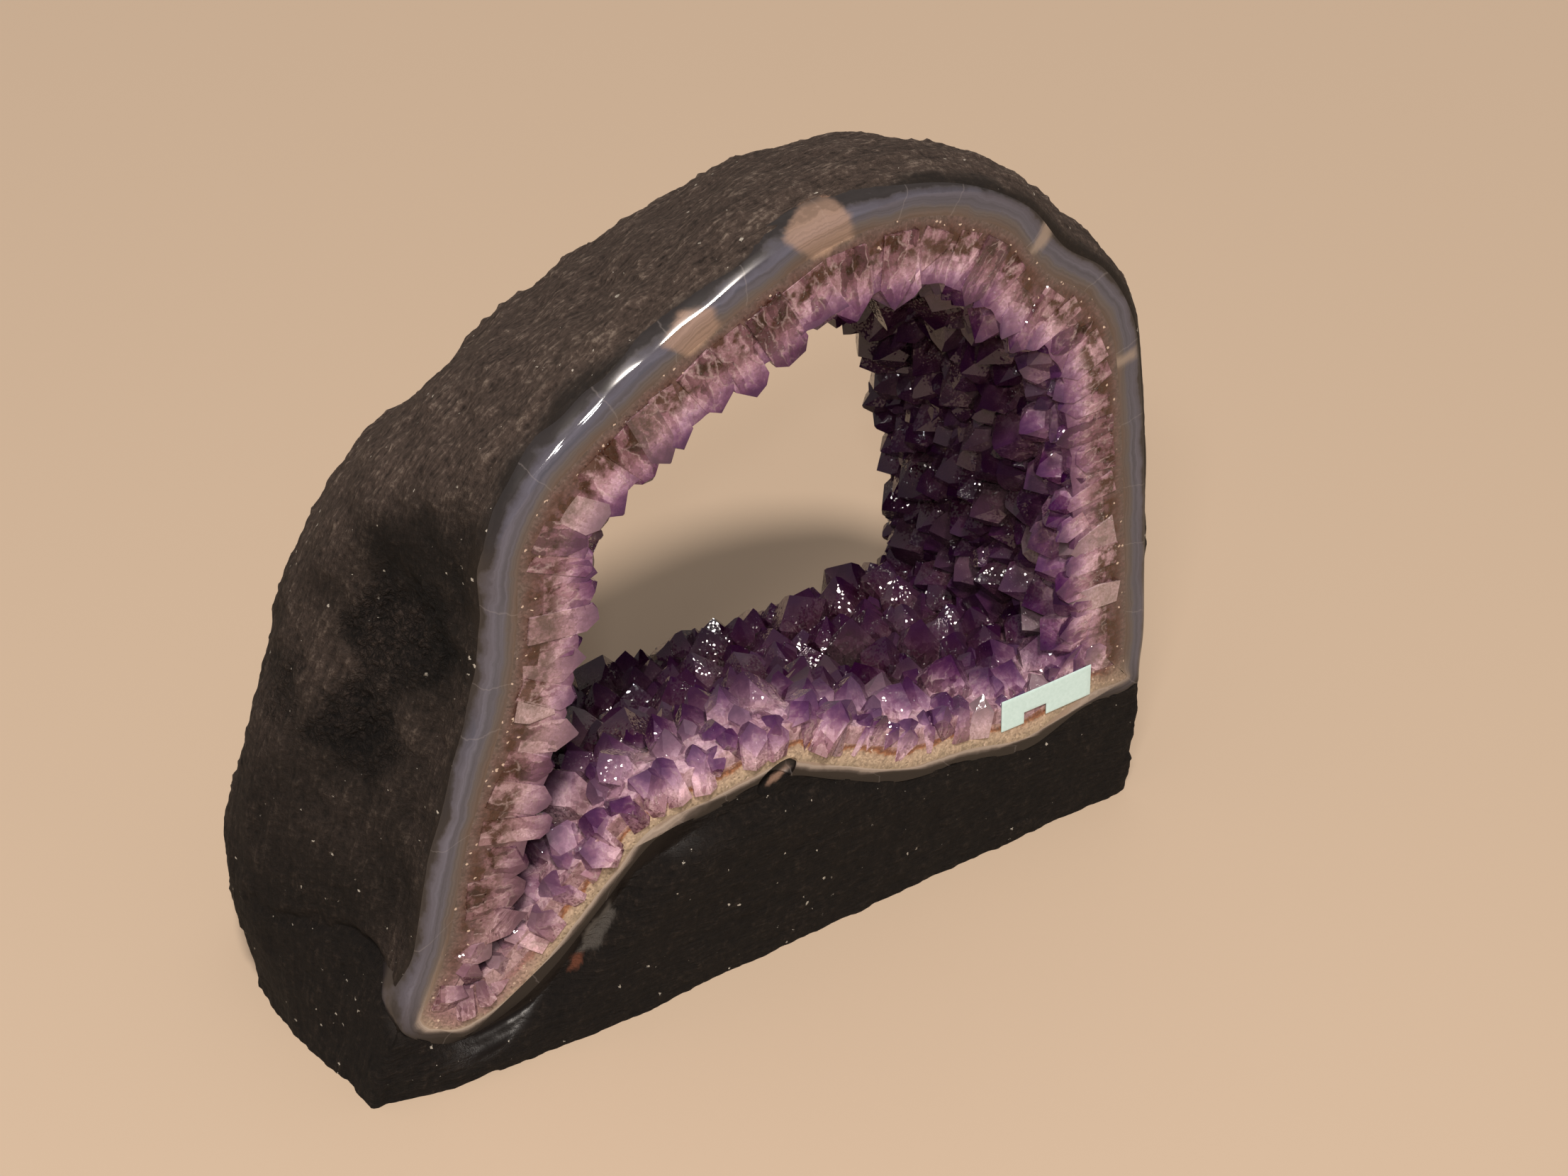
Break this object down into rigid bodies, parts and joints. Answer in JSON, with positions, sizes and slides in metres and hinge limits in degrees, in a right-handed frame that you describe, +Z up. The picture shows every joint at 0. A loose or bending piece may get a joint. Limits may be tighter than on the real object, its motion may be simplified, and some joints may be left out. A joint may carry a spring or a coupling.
{
  "type": "standing amethyst geode with a sawn base",
  "caption": "Cut-base geode that stands upright: dark coated rock, a polished agate rim, and a crust of amethyst crystals lining a hollow that is open right through.",
  "frame": {"origin": "centre of the underside of the object's box, on the face it stands on", "axes": "+X along the sawn face to the viewer's right, +Y from the sawn face to the back, +Z up"},
  "size_m": [0.3214, 0.1216, 0.2615],
  "materials": {
    "coated_rock": "matte black coating over rough rock, semi-gloss where it was ground beside the rim",
    "polished_agate": "polished, faintly translucent, blue-grey with bands",
    "amethyst_crystal": "glassy crystal faces, pale at the root and dark violet at the point; cut and polished on the front face",
    "tag_paper": "matte, blank"
  },
  "bodies": {
    "root": {"rock_shell": "coated_rock", "agate_band": "polished_agate", "amethyst_crust": "amethyst_crystal", "paper_tag": "tag_paper"}
  },
  "joints": []
}
